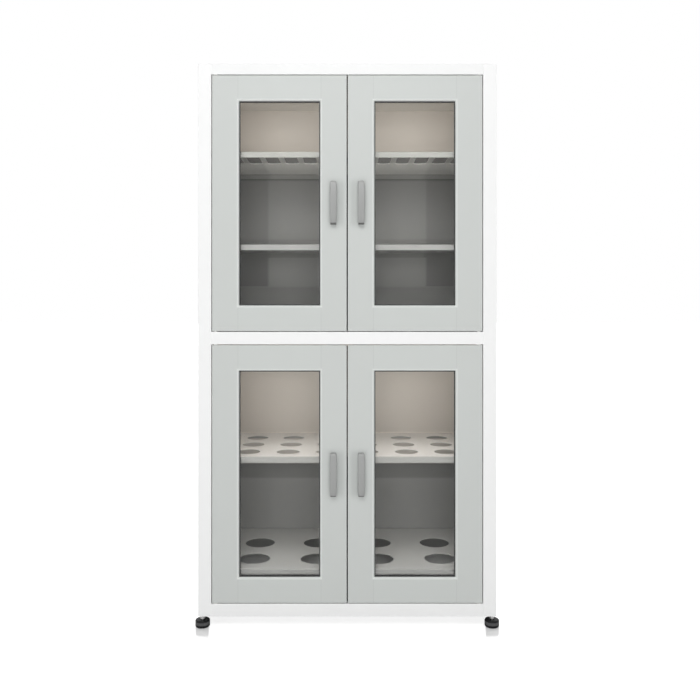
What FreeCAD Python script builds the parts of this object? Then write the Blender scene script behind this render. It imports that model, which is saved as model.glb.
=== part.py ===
"""Free-standing laboratory storage cabinet of folded steel sheet.

Two pairs of glazed doors on pivot pins close an upper and a lower compartment. Inside are a slotted
shelf, a plain shelf, a shelf of round holes for flasks and a tray of larger holes, all on clips in
slotted standards. The cabinet stands on four screw feet. Millimetres, +Z up, front towards -Y.
"""

import FreeCAD, Part
import math
import os

vec = FreeCAD.Vector

# Case
case_width = 900.0
case_depth = 450.0
overall_height = 1700.0
foot_height = 34.0
case_sheet = 1.0
case_bend = 0.8
post_width = 40.0
post_lip = 25.0
back_flange = 20.0
top_rail = 32.0
middle_rail = 38.0
bottom_rail = 38.0
bottom_lip = 16.0
lower_opening = 782.0
liner_tuck = 18.0

# Doors
door_thickness = 20.0
door_sheet = 1.0
door_edge_radius = 2.0
door_gap = 2.5
centre_gap = 4.0
hinge_stile = 81.0
meeting_stile = 80.0
door_rail = 77.0
window_bevel = 3.0
front_lip_depth = 5.0
inner_lip_depth = 5.0
glass_thickness = 4.0
glass_overlap = 8.0
gasket_wall = 2.0
gasket_sight = 3.0

# Door pivots
pivot_inset = 10.0
pivot_depth = 6.5
pin_radius = 3.5
pin_reach = 10.0
running_gap = 0.05
loose_gap = 0.1
bush_wall = 1.1
bush_flange = 1.4
bush_flange_height = 1.2
bush_length = 10.0
block_width = 26.0
block_height = 22.0

# Handles
handle_length = 130.0
handle_width = 18.6
handle_projection = 28.0
handle_thickness = 6.0
handle_foot = 15.0
handle_end = 19.0
handle_end_bevel = 3.0
handle_edge_bevel = 1.5

# Catches
catch_length = 40.0
catch_depth = 14.0
catch_height = 12.0
catch_gap = 0.3
catch_edge_radius = 1.0
catch_offset = 40.0
strike_thickness = 1.0
strike_margin = 2.0

# Shelves
shelf_sheet = 1.2
shelf_setback = 10.0
shelf_back_gap = 4.0
shelf_side_gap = 1.5
shelf_flange = 17.0
flask_flange = 19.0
shelf_edge_radius = 1.5
slotted_shelf_drop = 228.0
plain_shelf_rise = 265.0
flask_shelf_rise = 438.0
flask_tray_rise = 95.5
slot_pitch = 60.0
slot_width = 42.0
slot_length = 180.0
slot_corner_radius = 10.0
slot_margin = 20.0
slot_end_margin = 16.0
flask_hole_radius = 36.0
flask_pitch_x = 124.0
flask_pitch_y = 122.0
flask_columns = 6
flask_rows = 3
flask_front_margin = 74.0
tray_hole_radius = 49.0
tray_pitch_x = 196.0
tray_pitch_y = 160.0
tray_columns = 4
tray_rows = 2
tray_front_margin = 92.0

# Shelf standards and clips
standard_width = 20.0
standard_depth = 3.0
standard_sheet = 1.2
standard_inset = 55.0
standard_end_gap = 6.0
standard_slot_start = 18.0
standard_slot_pitch = 50.0
standard_slot_height = 14.0
standard_slot_width = 6.0
clip_tab = 13.0
clip_sheet = 2.0
clip_width = 14.0
clip_hook = 4.5
clip_hook_height = 8.0

# Feet
foot_radius = 22.0
foot_inset = 12.0
foot_pad_height = 22.0
foot_edge_bevel = 4.0
foot_socket_floor = 6.0
stud_radius = 4.0
stud_travel = 15.0
stud_tip = 1.0
hex_flats = 13.0
hex_height = 10.0
hex_gap = 0.3
bracket_sheet = 3.0
bracket_length = 50.0
bracket_bush_radius = 8.0
bracket_bush_height = 15.0

# How far a cutter runs past the face it leaves
overshoot = 1.0

# Planes that everything is set out from
side_x = case_width / 2
reveal_x = side_x - post_width
foot_reach = foot_radius - foot_inset
front_y = (handle_projection - case_depth - foot_reach) / 2
rear_y = front_y + case_depth
panel_y = rear_y - 2 * case_sheet
base_z = foot_height
floor_z = base_z + bottom_rail
divider_low = floor_z + lower_opening
divider_high = divider_low + middle_rail
split_z = divider_low + middle_rail / 2
ceiling_z = overall_height - top_rail
lid_z = overall_height - case_sheet
slotted_shelf_top = ceiling_z - slotted_shelf_drop
plain_shelf_top = divider_high + plain_shelf_rise
flask_shelf_top = floor_z + flask_shelf_rise
flask_tray_top = floor_z + flask_tray_rise


def block(x0, x1, y0, y1, z0, z1):
    """Box between two corners."""
    return Part.makeBox(x1 - x0, y1 - y0, z1 - z0, vec(x0, y0, z0))


def rod(x, y, z0, z1, radius):
    """Upright cylinder from z0 to z1."""
    return Part.makeCylinder(radius, z1 - z0, vec(x, y, z0))


def cross_rod(x, z, y0, y1, radius):
    """Cylinder that runs from front to back."""
    return Part.makeCylinder(radius, y1 - y0, vec(x, y0, z), vec(0, 1, 0))


def mirrored(shape):
    """The same piece on the other side of the cabinet."""
    return shape.mirror(vec(0, 0, 0), vec(1, 0, 0))


def both_sides(shapes):
    """Pieces and their mirror images, as separate solids."""
    return shapes + [mirrored(shape) for shape in shapes]


def save(name, shapes):
    """Write one sub-part, which is one solid or a group of separate ones."""
    solids = [solid for shape in shapes for solid in shape.Solids]
    result = solids[0] if len(solids) == 1 else Part.makeCompound(solids)
    result.exportStep("parts/" + name + ".step")


def bent_section(path, thickness, bend):
    """Flat section of a folded sheet that lies to the left of a path.

    Each corner of the path becomes a fold of inner radius bend.
    """
    corners = [vec(u, v, 0) for u, v in path]
    runs = [(b - a).normalize() for a, b in zip(corners, corners[1:])]
    normals = [vec(-run.y, run.x, 0) for run in runs]
    edges = []
    ends = []
    for offset in (0.0, thickness):
        start = corners[0] + normals[0] * offset
        ends.append(start)
        for i in range(1, len(runs)):
            before, after = runs[i - 1], runs[i]
            mitre = (normals[i - 1] + normals[i]) * (offset / (1 + normals[i - 1].dot(normals[i])))
            corner = corners[i] + mitre
            turns_left = before.x * after.y - before.y * after.x > 0
            on_outside = turns_left == (offset == 0.0)
            radius = bend + thickness if on_outside else bend
            half = before.getAngle(after) / 2
            reach = radius * math.tan(half)
            into = (after - before).normalize() * (radius / math.cos(half) - radius)
            fold_start = corner - before * reach
            fold_end = corner + after * reach
            edges.append(Part.LineSegment(start, fold_start).toShape())
            edges.append(Part.Arc(fold_start, corner + into, fold_end).toShape())
            start = fold_end
        finish = corners[-1] + normals[-1] * offset
        edges.append(Part.LineSegment(start, finish).toShape())
        ends.append(finish)
    edges.append(Part.LineSegment(ends[0], ends[2]).toShape())
    edges.append(Part.LineSegment(ends[1], ends[3]).toShape())
    return Part.Face(Part.Wire(Part.__sortEdges__(edges)))


def folded_upright(path, thickness, bend, z0, z1):
    """Folded sheet whose section is drawn in plan and runs from z0 to z1."""
    prism = bent_section(path, thickness, bend).extrude(vec(0, 0, z1 - z0))
    prism.translate(vec(0, 0, z0))
    return prism


def folded_across(path, thickness, bend, x0, x1):
    """Folded sheet whose section is drawn from the side, as (y, z), and runs from x0 to x1."""
    prism = bent_section(path, thickness, bend).extrude(vec(0, 0, x1 - x0))
    turn = FreeCAD.Rotation(vec(0, 1, 0), vec(0, 0, 1), vec(1, 0, 0), "XYZ")
    prism.Placement = FreeCAD.Placement(vec(x0, 0, 0), turn)
    return prism


def make_side_panel():
    """Right side: outer wall with the face post and its lip, and the back flange, in one sheet."""
    path = [
        (side_x - back_flange, rear_y),
        (side_x, rear_y),
        (side_x, front_y),
        (reveal_x, front_y),
        (reveal_x, front_y + post_lip),
    ]
    path.reverse()
    return folded_upright(path, case_sheet, case_bend, base_z, lid_z)


def make_side_liner():
    """Right inner wall, joggled at the front to tuck behind the lip of the post."""
    lip_end = front_y + post_lip
    skin_x = reveal_x + case_sheet
    corners = [
        (skin_x, lip_end - liner_tuck),
        (skin_x, lip_end),
        (reveal_x, lip_end),
        (reveal_x, panel_y),
        (skin_x, panel_y),
        (skin_x, lip_end + case_sheet),
        (skin_x + case_sheet, lip_end + case_sheet),
        (skin_x + case_sheet, lip_end - liner_tuck),
    ]
    wire = Part.makePolygon([vec(x, y, base_z) for x, y in corners + corners[:1]])
    return Part.Face(wire).extrude(vec(0, 0, lid_z - base_z))


def make_back_panel(z0, z1):
    """Flat sheet behind the flanges of the sides."""
    half = side_x - case_sheet - case_bend
    return block(-half, half, panel_y, panel_y + case_sheet, z0, z1)


def pivot_place():
    """Plan position of the pivot of a left door."""
    return -(reveal_x - door_gap - pivot_inset), front_y + pivot_depth


def drill_pivots(shape, z0, z1):
    """Holes for the pivot bushes through a deck, on both sides."""
    x, y = pivot_place()
    radius = pin_radius + running_gap + bush_wall + running_gap
    drills = both_sides([rod(x, y, z0 - overshoot, z1 + overshoot, radius)])
    return shape.cut(Part.makeCompound(drills))


def make_top_panel():
    """Lid that closes the top of the case and lies on the sides."""
    lid = block(-side_x, side_x, front_y, rear_y, lid_z, overall_height)
    upper_edges = [e for e in lid.Edges if e.BoundBox.ZMin > lid_z + case_sheet / 2]
    return lid.makeFillet(case_sheet / 2, upper_edges)


def make_ceiling_panel():
    """Top rail and ceiling in one sheet, with a flange up at the back."""
    path = [
        (front_y, lid_z),
        (front_y, ceiling_z),
        (panel_y, ceiling_z),
        (panel_y, lid_z),
    ]
    pan = folded_across(path, case_sheet, case_bend, -reveal_x, reveal_x)
    return drill_pivots(pan, ceiling_z, ceiling_z + case_sheet)


def make_middle_divider():
    """Closed box section between the two compartments."""
    outer = block(-reveal_x, reveal_x, front_y, panel_y, divider_low, divider_high)
    long_edges = [e for e in outer.Edges if e.BoundBox.XLength > case_width / 2]
    outer = outer.makeFillet(case_sheet + case_bend, long_edges)
    hollow = block(
        -reveal_x - overshoot,
        reveal_x + overshoot,
        front_y + case_sheet,
        panel_y - case_sheet,
        divider_low + case_sheet,
        divider_high - case_sheet,
    )
    return drill_pivots(outer.cut(hollow), divider_low, divider_high)


def make_bottom_panel():
    """Floor and bottom rail in one sheet, with lips under the rail and the back flange."""
    path = [
        (front_y + bottom_lip, base_z),
        (front_y, base_z),
        (front_y, floor_z),
        (panel_y, floor_z),
        (panel_y, base_z),
        (panel_y - bottom_lip, base_z),
    ]
    path.reverse()
    pan = folded_across(path, case_sheet, case_bend, -reveal_x, reveal_x)
    return drill_pivots(pan, floor_z - case_sheet, floor_z)


def make_bush(z_face, upward):
    """Flanged bush of a left door: the flange lies on the deck's face, the sleeve goes through it."""
    x, y = pivot_place()
    bore = pin_radius + running_gap
    sleeve_radius = bore + bush_wall
    flange_radius = sleeve_radius + bush_flange
    z_end = z_face + upward * bush_length
    z_flange = z_face - upward * bush_flange_height
    sleeve = rod(x, y, min(z_face, z_end), max(z_face, z_end), sleeve_radius)
    flange = rod(x, y, min(z_face, z_flange), max(z_face, z_flange), flange_radius)
    low, high = min(z_flange, z_end), max(z_flange, z_end)
    hole = rod(x, y, low - overshoot, high + overshoot, bore)
    return sleeve.fuse(flange).cut(hole).removeSplitter()


def make_pivot_bushes():
    """Two bushes for each door, above and below it."""
    left = [
        make_bush(ceiling_z, 1),
        make_bush(divider_high, -1),
        make_bush(divider_low, 1),
        make_bush(floor_z, -1),
    ]
    return both_sides(left)


def make_catches():
    """Magnet housings under the ceiling and the divider, just behind the doors."""
    y0 = front_y + door_thickness + strike_thickness + catch_gap
    x1 = -centre_gap / 2 - catch_offset + catch_length / 2
    housings = []
    for z in (ceiling_z, divider_low):
        housing = block(x1 - catch_length, x1, y0, y0 + catch_depth, z - catch_height, z)
        lower = [e for e in housing.Edges if e.BoundBox.ZMax < z - catch_height / 2]
        housings.append(housing.makeChamfer(catch_edge_radius, lower))
    return both_sides(housings)


def frustum(x0, x1, z0, z1, y_front, y_back, spread):
    """Straight-sided funnel along Y that is wider at the front by spread on each side."""
    def rectangle(y, grow):
        corners = [
            vec(x0 - grow, y, z0 - grow),
            vec(x1 + grow, y, z0 - grow),
            vec(x1 + grow, y, z1 + grow),
            vec(x0 - grow, y, z1 + grow),
        ]
        return Part.makePolygon(corners + corners[:1])

    return Part.makeLoft([rectangle(y_front, spread), rectangle(y_back, 0.0)], True, True)


class Door:
    """Sizes of one left door between two heights of its opening."""

    def __init__(self, opening_low, opening_high):
        self.x0 = -(reveal_x - door_gap)
        self.x1 = -centre_gap / 2
        self.z0 = opening_low + door_gap
        self.z1 = opening_high - door_gap
        self.back_y = front_y + door_thickness
        self.wx0 = self.x0 + hinge_stile
        self.wx1 = self.x1 - meeting_stile
        self.wz0 = self.z0 + door_rail
        self.wz1 = self.z1 - door_rail
        self.handle_x = self.x1 - meeting_stile / 2
        self.handle_z = (self.z0 + self.z1) / 2

    def window(self, grow, y0, y1):
        """Block the size of the window, grown on each side."""
        return block(self.wx0 - grow, self.wx1 + grow, y0, y1, self.wz0 - grow, self.wz1 + grow)

    def shell(self):
        """Outer pan: front sheet with rounded edges, side walls and a bevelled window lip."""
        t = door_sheet
        outer = block(self.x0, self.x1, front_y, self.back_y, self.z0, self.z1)
        front_edges = [e for e in outer.Edges if e.BoundBox.YMax < front_y + t]
        outer = outer.makeFillet(door_edge_radius, front_edges)
        open_y = self.back_y + overshoot
        hollow = block(self.x0 + t, self.x1 - t, front_y + t, open_y, self.z0 + t, self.z1 - t)
        pan = outer.cut(hollow)
        lip_y = front_y + front_lip_depth
        lip = frustum(
            self.wx0 - t, self.wx1 + t, self.wz0 - t, self.wz1 + t, front_y, lip_y, window_bevel
        )
        mouth = window_bevel * (1 + overshoot / front_lip_depth)
        opening = frustum(
            self.wx0, self.wx1, self.wz0, self.wz1, front_y - overshoot, lip_y, mouth
        )
        pan = pan.fuse(lip).cut(opening)
        x, y = pivot_place()
        pins = rod(x, y, self.z0 - overshoot, self.z1 + overshoot, pin_radius + loose_gap)
        return pan.cut(pins).removeSplitter()

    def inner_frame(self):
        """Inner sheet that closes the back of the shell, with a straight lip round the window."""
        t = door_sheet
        y0 = self.back_y - t
        sheet = block(self.x0 + t, self.x1 - t, y0, self.back_y, self.z0 + t, self.z1 - t)
        lip = self.window(t, self.back_y - inner_lip_depth, self.back_y)
        window = self.window(0.0, front_y, self.back_y + overshoot)
        return sheet.fuse(lip).cut(window).removeSplitter()

    def glass_planes(self):
        """Front and back of the pane, midway between the two lips."""
        middle = front_y + (front_lip_depth + door_thickness - inner_lip_depth) / 2
        return middle - glass_thickness / 2, middle + glass_thickness / 2

    def glass(self):
        """Pane of clear glass with eased edges."""
        pane = self.window(glass_overlap, *self.glass_planes())
        return pane.makeChamfer(glass_thickness / 10, pane.Edges)

    def gasket(self):
        """Rubber channel round the pane, pinched between the two lips."""
        y0 = front_y + front_lip_depth
        y1 = self.back_y - inner_lip_depth
        ring = self.window(glass_overlap + gasket_wall, y0, y1)
        groove = self.window(glass_overlap, *self.glass_planes())
        sight = self.window(-gasket_sight, y0 - overshoot, y1 + overshoot)
        return ring.cut(sight).cut(groove)

    def handle(self):
        """Bow handle: a bar bent to an arc between two feet, with bevelled long edges."""
        half = handle_length / 2
        x0 = self.handle_x - handle_width / 2
        inner_half = half - handle_foot

        def at(out, z):
            return vec(x0, front_y - out, self.handle_z + z)

        edges = [
            Part.LineSegment(at(0, -half), at(handle_end, -half)).toShape(),
            Part.Arc(at(handle_end, -half), at(handle_projection, 0), at(handle_end, half)).toShape(),
            Part.LineSegment(at(handle_end, half), at(0, half)).toShape(),
            Part.LineSegment(at(0, half), at(0, inner_half)).toShape(),
            Part.Arc(
                at(0, inner_half),
                at(handle_projection - handle_thickness, 0),
                at(0, -inner_half),
            ).toShape(),
            Part.LineSegment(at(0, -inner_half), at(0, -half)).toShape(),
        ]
        bar = Part.Face(Part.Wire(edges)).extrude(vec(handle_width, 0, 0))
        ends = [
            e for e in bar.Edges
            if e.BoundBox.ZLength < 1e-6 and abs(e.BoundBox.YMin - front_y + handle_end) < 1e-6
            and e.BoundBox.YLength < 1e-6
        ]
        bar = bar.makeChamfer(handle_end_bevel, ends)
        arcs = [
            e for e in bar.Edges
            if e.Curve.TypeId == "Part::GeomCircle" and e.BoundBox.YMin < front_y - handle_end
        ]
        return bar.makeChamfer(handle_edge_bevel, arcs)

    def pivot_blocks(self):
        """Blocks inside the hinge edge, each turned in one piece with the pin that stands out."""
        t = door_sheet
        x, y = pivot_place()
        x0 = self.x0 + t
        y0, y1 = front_y + t, self.back_y - t
        top = block(x0, x0 + block_width, y0, y1, self.z1 - t - block_height, self.z1 - t)
        top = top.fuse(rod(x, y, self.z1 - t, self.z1 + pin_reach, pin_radius))
        low = block(x0, x0 + block_width, y0, y1, self.z0 + t, self.z0 + t + block_height)
        low = low.fuse(rod(x, y, self.z0 - pin_reach, self.z0 + t, pin_radius))
        return [top.removeSplitter(), low.removeSplitter()]

    def strike_plate(self):
        """Steel plate on the back of the door, facing the magnet."""
        x1 = self.x1 - catch_offset + catch_length / 2
        plate_top = self.z1 - strike_margin
        return block(
            x1 - catch_length + strike_margin,
            x1 - strike_margin,
            self.back_y,
            self.back_y + strike_thickness,
            plate_top - catch_height + strike_margin,
            plate_top,
        )


def shelf_pan(top_z, flange):
    """Shelf folded down on all four sides, with rounded upper edges."""
    half = reveal_x - standard_depth - shelf_side_gap
    y0 = front_y + door_thickness + shelf_setback
    y1 = panel_y - shelf_back_gap
    outer = block(-half, half, y0, y1, top_z - flange, top_z)
    upper = [e for e in outer.Edges if e.BoundBox.ZMin > top_z - shelf_sheet]
    outer = outer.makeFillet(shelf_edge_radius, upper)
    t = shelf_sheet
    open_z = top_z - flange - overshoot
    hollow = block(-half + t, half - t, y0 + t, y1 - t, open_z, top_z - t)
    return outer.cut(hollow), half, y0


def make_slotted_shelf():
    """Shelf with a row of long slots that run from front to back."""
    pan, half, y0 = shelf_pan(slotted_shelf_top, shelf_flange)
    count = int((2 * (half - slot_end_margin) - slot_width) // slot_pitch) + 1
    low_z = slotted_shelf_top - shelf_sheet - overshoot
    high_z = slotted_shelf_top + overshoot
    cutters = []
    for i in range(count):
        x = (i - (count - 1) / 2) * slot_pitch
        y = y0 + slot_margin
        slot = block(x - slot_width / 2, x + slot_width / 2, y, y + slot_length, low_z, high_z)
        uprights = [e for e in slot.Edges if e.BoundBox.ZLength > shelf_sheet]
        cutters.append(slot.makeFillet(slot_corner_radius, uprights))
    return pan.cut(Part.makeCompound(cutters))


def hole_grid(columns, rows, pitch_x, pitch_y):
    """Centres of a grid of holes, from its first row, as x and distance behind that row."""
    return [
        ((column - (columns - 1) / 2) * pitch_x, row * pitch_y)
        for row in range(rows)
        for column in range(columns)
    ]


def perforated_shelf(top_z, flange, places, margin, radius):
    """Shelf pierced by round holes."""
    pan, half, y0 = shelf_pan(top_z, flange)
    cutters = [
        rod(x, y0 + margin + y, top_z - shelf_sheet - overshoot, top_z + overshoot, radius)
        for x, y in places
    ]
    return pan.cut(Part.makeCompound(cutters))


def make_flask_shelf():
    """Rows of round holes that hold flasks by the belly."""
    places = hole_grid(flask_columns, flask_rows, flask_pitch_x, flask_pitch_y)
    return perforated_shelf(
        flask_shelf_top, flask_flange, places, flask_front_margin, flask_hole_radius
    )


def make_flask_tray():
    """Raised bottom tray with larger holes for big bottles."""
    places = hole_grid(tray_columns, tray_rows, tray_pitch_x, tray_pitch_y)
    return perforated_shelf(
        flask_tray_top, shelf_flange, places, tray_front_margin, tray_hole_radius
    )


def standard_rows():
    """Front-to-back centres of the standards."""
    return [
        front_y + door_thickness + standard_inset,
        panel_y - standard_inset,
    ]


def standard_slots(z0, z1):
    """Heights of the slot centres of a standard that runs from z0 to z1."""
    count = int((z1 - z0 - 2 * standard_slot_start) // standard_slot_pitch) + 1
    return [z0 + standard_slot_start + i * standard_slot_pitch for i in range(count)]


def standard_spans():
    """Lower and upper end of the standards in each compartment."""
    return [
        (floor_z + standard_end_gap, divider_low - standard_end_gap),
        (divider_high + standard_end_gap, ceiling_z - standard_end_gap),
    ]


def make_standards():
    """Slotted channels on both inner walls, front and rear, in both compartments."""
    face_x = reveal_x - standard_depth
    t = standard_sheet
    channels = []
    for y in standard_rows():
        y0, y1 = y - standard_width / 2, y + standard_width / 2
        for z0, z1 in standard_spans():
            bar = block(face_x, reveal_x, y0, y1, z0, z1)
            channel = bar.cut(block(face_x + t, reveal_x, y0 + t, y1 - t, z0, z1))
            slots = [
                block(
                    face_x - overshoot,
                    reveal_x,
                    y - standard_slot_width / 2,
                    y + standard_slot_width / 2,
                    z - standard_slot_height / 2,
                    z + standard_slot_height / 2,
                )
                for z in standard_slots(z0, z1)
            ]
            channels.append(channel.cut(Part.makeCompound(slots)))
    return both_sides(channels)


def make_clips():
    """Brackets hooked into the standards: a tab under each corner of each shelf."""
    face_x = reveal_x - standard_depth
    undersides = [
        flask_tray_top - shelf_flange,
        flask_shelf_top - flask_flange,
        plain_shelf_top - shelf_flange,
        slotted_shelf_top - shelf_flange,
    ]
    clips = []
    for y in standard_rows():
        for under in undersides:
            span = [s for s in standard_spans() if s[0] < under < s[1]][0]
            below = [z for z in standard_slots(*span) if z < under - clip_hook_height]
            hook_z = below[-1]
            y0, y1 = y - clip_width / 2, y + clip_width / 2
            tab = block(face_x - clip_tab, face_x, y0, y1, under - clip_sheet, under)
            plate = block(
                face_x - clip_sheet, face_x, y0, y1, hook_z - clip_hook_height, under
            )
            hook_half = standard_slot_width / 2 - loose_gap
            hook = block(
                face_x - clip_sheet,
                face_x + standard_sheet + running_gap,
                y - hook_half,
                y + hook_half,
                hook_z - standard_slot_height / 2,
                hook_z - standard_slot_height / 2 + clip_hook,
            )
            clips.append(tab.fuse([plate, hook]).removeSplitter())
    return both_sides(clips)


def foot_places():
    """Plan positions of the feet by name."""
    x = side_x - foot_inset
    y_front = front_y + foot_inset
    y_rear = rear_y - foot_inset
    return {
        "front_left": (-x, y_front),
        "front_right": (x, y_front),
        "rear_left": (-x, y_rear),
        "rear_right": (x, y_rear),
    }


def make_foot_pad(x, y):
    """Moulded round foot with bevelled rims and a socket for the stud in its top."""
    pad = rod(x, y, 0.0, foot_pad_height, foot_radius)
    rims = [e for e in pad.Edges if e.BoundBox.ZLength < foot_edge_bevel]
    pad = pad.makeChamfer(foot_edge_bevel, rims)
    socket_top = foot_pad_height + overshoot
    return pad.cut(rod(x, y, foot_socket_floor, socket_top, stud_radius + running_gap))


def make_foot_stud(x, y):
    """Threaded stud with a hexagon that meets the case when the foot is screwed right in."""
    hex_top = base_z - hex_gap
    hex_low = hex_top - hex_height
    top = base_z + bracket_sheet + bracket_bush_height + stud_travel
    stud = rod(x, y, foot_socket_floor, top, stud_radius)
    tip = [e for e in stud.Edges if e.BoundBox.ZMin > top - stud_tip]
    stud = stud.makeChamfer(stud_tip, tip)
    across_corners = hex_flats / 2 / math.cos(math.pi / 6)
    corners = [
        vec(
            x + across_corners * math.cos(math.pi / 3 * i),
            y + across_corners * math.sin(math.pi / 3 * i),
            hex_low,
        )
        for i in range(6)
    ]
    hexagon = Part.Face(Part.makePolygon(corners + corners[:1])).extrude(vec(0, 0, hex_height))
    return stud.fuse(hexagon).removeSplitter()


def make_foot_brackets():
    """Plates that close the corners of the case from below, each with the foot's threaded bush."""
    places = foot_places()
    x0 = reveal_x + 2 * case_sheet
    x1 = side_x - case_sheet
    bracket_front = front_y + case_sheet + case_bend
    spans = {
        "front_right": (bracket_front, bracket_front + bracket_length),
        "rear_right": (panel_y - bracket_length, panel_y),
    }
    brackets = []
    for name, (y0, y1) in spans.items():
        x, y = places[name]
        plate = block(x0, x1, y0, y1, base_z, base_z + bracket_sheet)
        bush_top = base_z + bracket_sheet + bracket_bush_height
        bush = rod(x, y, base_z + bracket_sheet, bush_top, bracket_bush_radius)
        thread = rod(x, y, base_z - overshoot, bush_top + overshoot, stud_radius + running_gap)
        brackets.append(plate.fuse(bush).cut(thread).removeSplitter())
    return both_sides(brackets)


os.makedirs("parts", exist_ok=True)

# Case
save("side_panel_right", [make_side_panel()])
save("side_panel_left", [mirrored(make_side_panel())])
save("side_liner_right", [make_side_liner()])
save("side_liner_left", [mirrored(make_side_liner())])
save("top_panel", [make_top_panel()])
save("ceiling_panel", [make_ceiling_panel()])
save("middle_divider", [make_middle_divider()])
save("bottom_panel", [make_bottom_panel()])
save("back_panel_lower", [make_back_panel(base_z, split_z)])
save("back_panel_upper", [make_back_panel(split_z, lid_z)])
save("pivot_bushes", make_pivot_bushes())
save("magnetic_catches", make_catches())

# Shelves
save("slotted_shelf", [make_slotted_shelf()])
save("plain_shelf", [shelf_pan(plain_shelf_top, shelf_flange)[0]])
save("flask_shelf", [make_flask_shelf()])
save("flask_tray", [make_flask_tray()])
save("shelf_standards", make_standards())
save("shelf_clips", make_clips())

# Feet
save("foot_brackets", make_foot_brackets())
for place, (foot_x, foot_y) in foot_places().items():
    save("foot_pad_" + place, [make_foot_pad(foot_x, foot_y)])
    save("foot_stud_" + place, [make_foot_stud(foot_x, foot_y)])

# Doors
doors = {"upper": Door(divider_high, ceiling_z), "lower": Door(floor_z, divider_low)}
for level, door in doors.items():
    pieces = {
        "shell": [door.shell()],
        "inner_frame": [door.inner_frame()],
        "glass": [door.glass()],
        "gasket": [door.gasket()],
        "handle": [door.handle()],
        "pivot_blocks": door.pivot_blocks(),
        "strike_plate": [door.strike_plate()],
    }
    for piece, shapes in pieces.items():
        save("door_" + level + "_left_" + piece, shapes)
        save("door_" + level + "_right_" + piece, [mirrored(shape) for shape in shapes])
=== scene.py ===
"""Looks of a free-standing laboratory storage cabinet: painted sheet steel, glass, rubber, plating.

The sections follow the cabinet as it is put together: case, inner walls, back screws, shelves,
doors, glass, handles, dust seals, catches and bushes, feet, and at last the floor, the light and
the camera. Metres, front towards -Y.
"""
import math

import bmesh
import bpy
import numpy as np
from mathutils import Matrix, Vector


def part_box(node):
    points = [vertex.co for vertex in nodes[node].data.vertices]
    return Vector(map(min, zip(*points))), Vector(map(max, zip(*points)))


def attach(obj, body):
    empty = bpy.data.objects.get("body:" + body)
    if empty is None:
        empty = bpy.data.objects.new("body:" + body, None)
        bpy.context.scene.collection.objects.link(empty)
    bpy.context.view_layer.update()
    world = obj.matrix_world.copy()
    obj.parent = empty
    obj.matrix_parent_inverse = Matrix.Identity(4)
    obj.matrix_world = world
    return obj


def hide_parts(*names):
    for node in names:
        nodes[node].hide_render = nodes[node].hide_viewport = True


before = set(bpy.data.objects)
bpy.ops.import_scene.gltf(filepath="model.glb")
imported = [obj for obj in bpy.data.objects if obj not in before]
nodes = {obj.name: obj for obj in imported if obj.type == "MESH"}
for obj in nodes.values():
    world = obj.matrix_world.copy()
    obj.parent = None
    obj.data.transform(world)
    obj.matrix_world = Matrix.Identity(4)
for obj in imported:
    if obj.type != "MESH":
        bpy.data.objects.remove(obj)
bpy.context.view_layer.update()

# Case
# Folded steel sheet with a white powder coat. The coat has a fine orange-peel grain and a trace of
# cloudiness from spraying, and a painted highlight on its bends, which are coloured lighter.


def add_node(tree, kind, **settings):
    """One shader node with its settings and, by socket name, its plain input values."""
    made = tree.nodes.new(kind)
    for key, value in settings.items():
        if hasattr(made, key):
            setattr(made, key, value)
        else:
            made.inputs[key.replace("_", " ")].default_value = value
    return made


def new_group(name, inputs, outputs):
    """Empty shader group; inputs are (name, kind, value), outputs are (name, kind)."""
    group = bpy.data.node_groups.new(name, "ShaderNodeTree")
    for label, kind, value in inputs:
        socket = group.interface.new_socket(label, in_out="INPUT", socket_type="NodeSocket" + kind)
        if value is not None:
            socket.default_value = value
    for label, kind in outputs:
        group.interface.new_socket(label, in_out="OUTPUT", socket_type="NodeSocket" + kind)
    return group, group.nodes.new("NodeGroupInput"), group.nodes.new("NodeGroupOutput")


def calc(tree, operation, first, second):
    """Result of one Math node; each input is a socket or a number."""
    made = add_node(tree, "ShaderNodeMath", operation=operation)
    for slot, value in zip(made.inputs, (first, second)):
        if isinstance(value, (int, float)):
            slot.default_value = value
        else:
            tree.links.new(value, slot)
    return made.outputs[0]


def soft_step(tree, value, low, high):
    """0 below low and 1 above high, smooth between; falls instead if low is over high."""
    made = add_node(tree, "ShaderNodeMapRange", interpolation_type="SMOOTHSTEP")
    made.inputs["From Min"].default_value = low
    made.inputs["From Max"].default_value = high
    tree.links.new(value, made.inputs["Value"])
    return made.outputs["Result"]


def split(tree, vector):
    """X, Y and Z of a vector socket."""
    parts = add_node(tree, "ShaderNodeSeparateXYZ")
    tree.links.new(vector, parts.inputs[0])
    return parts.outputs


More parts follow.
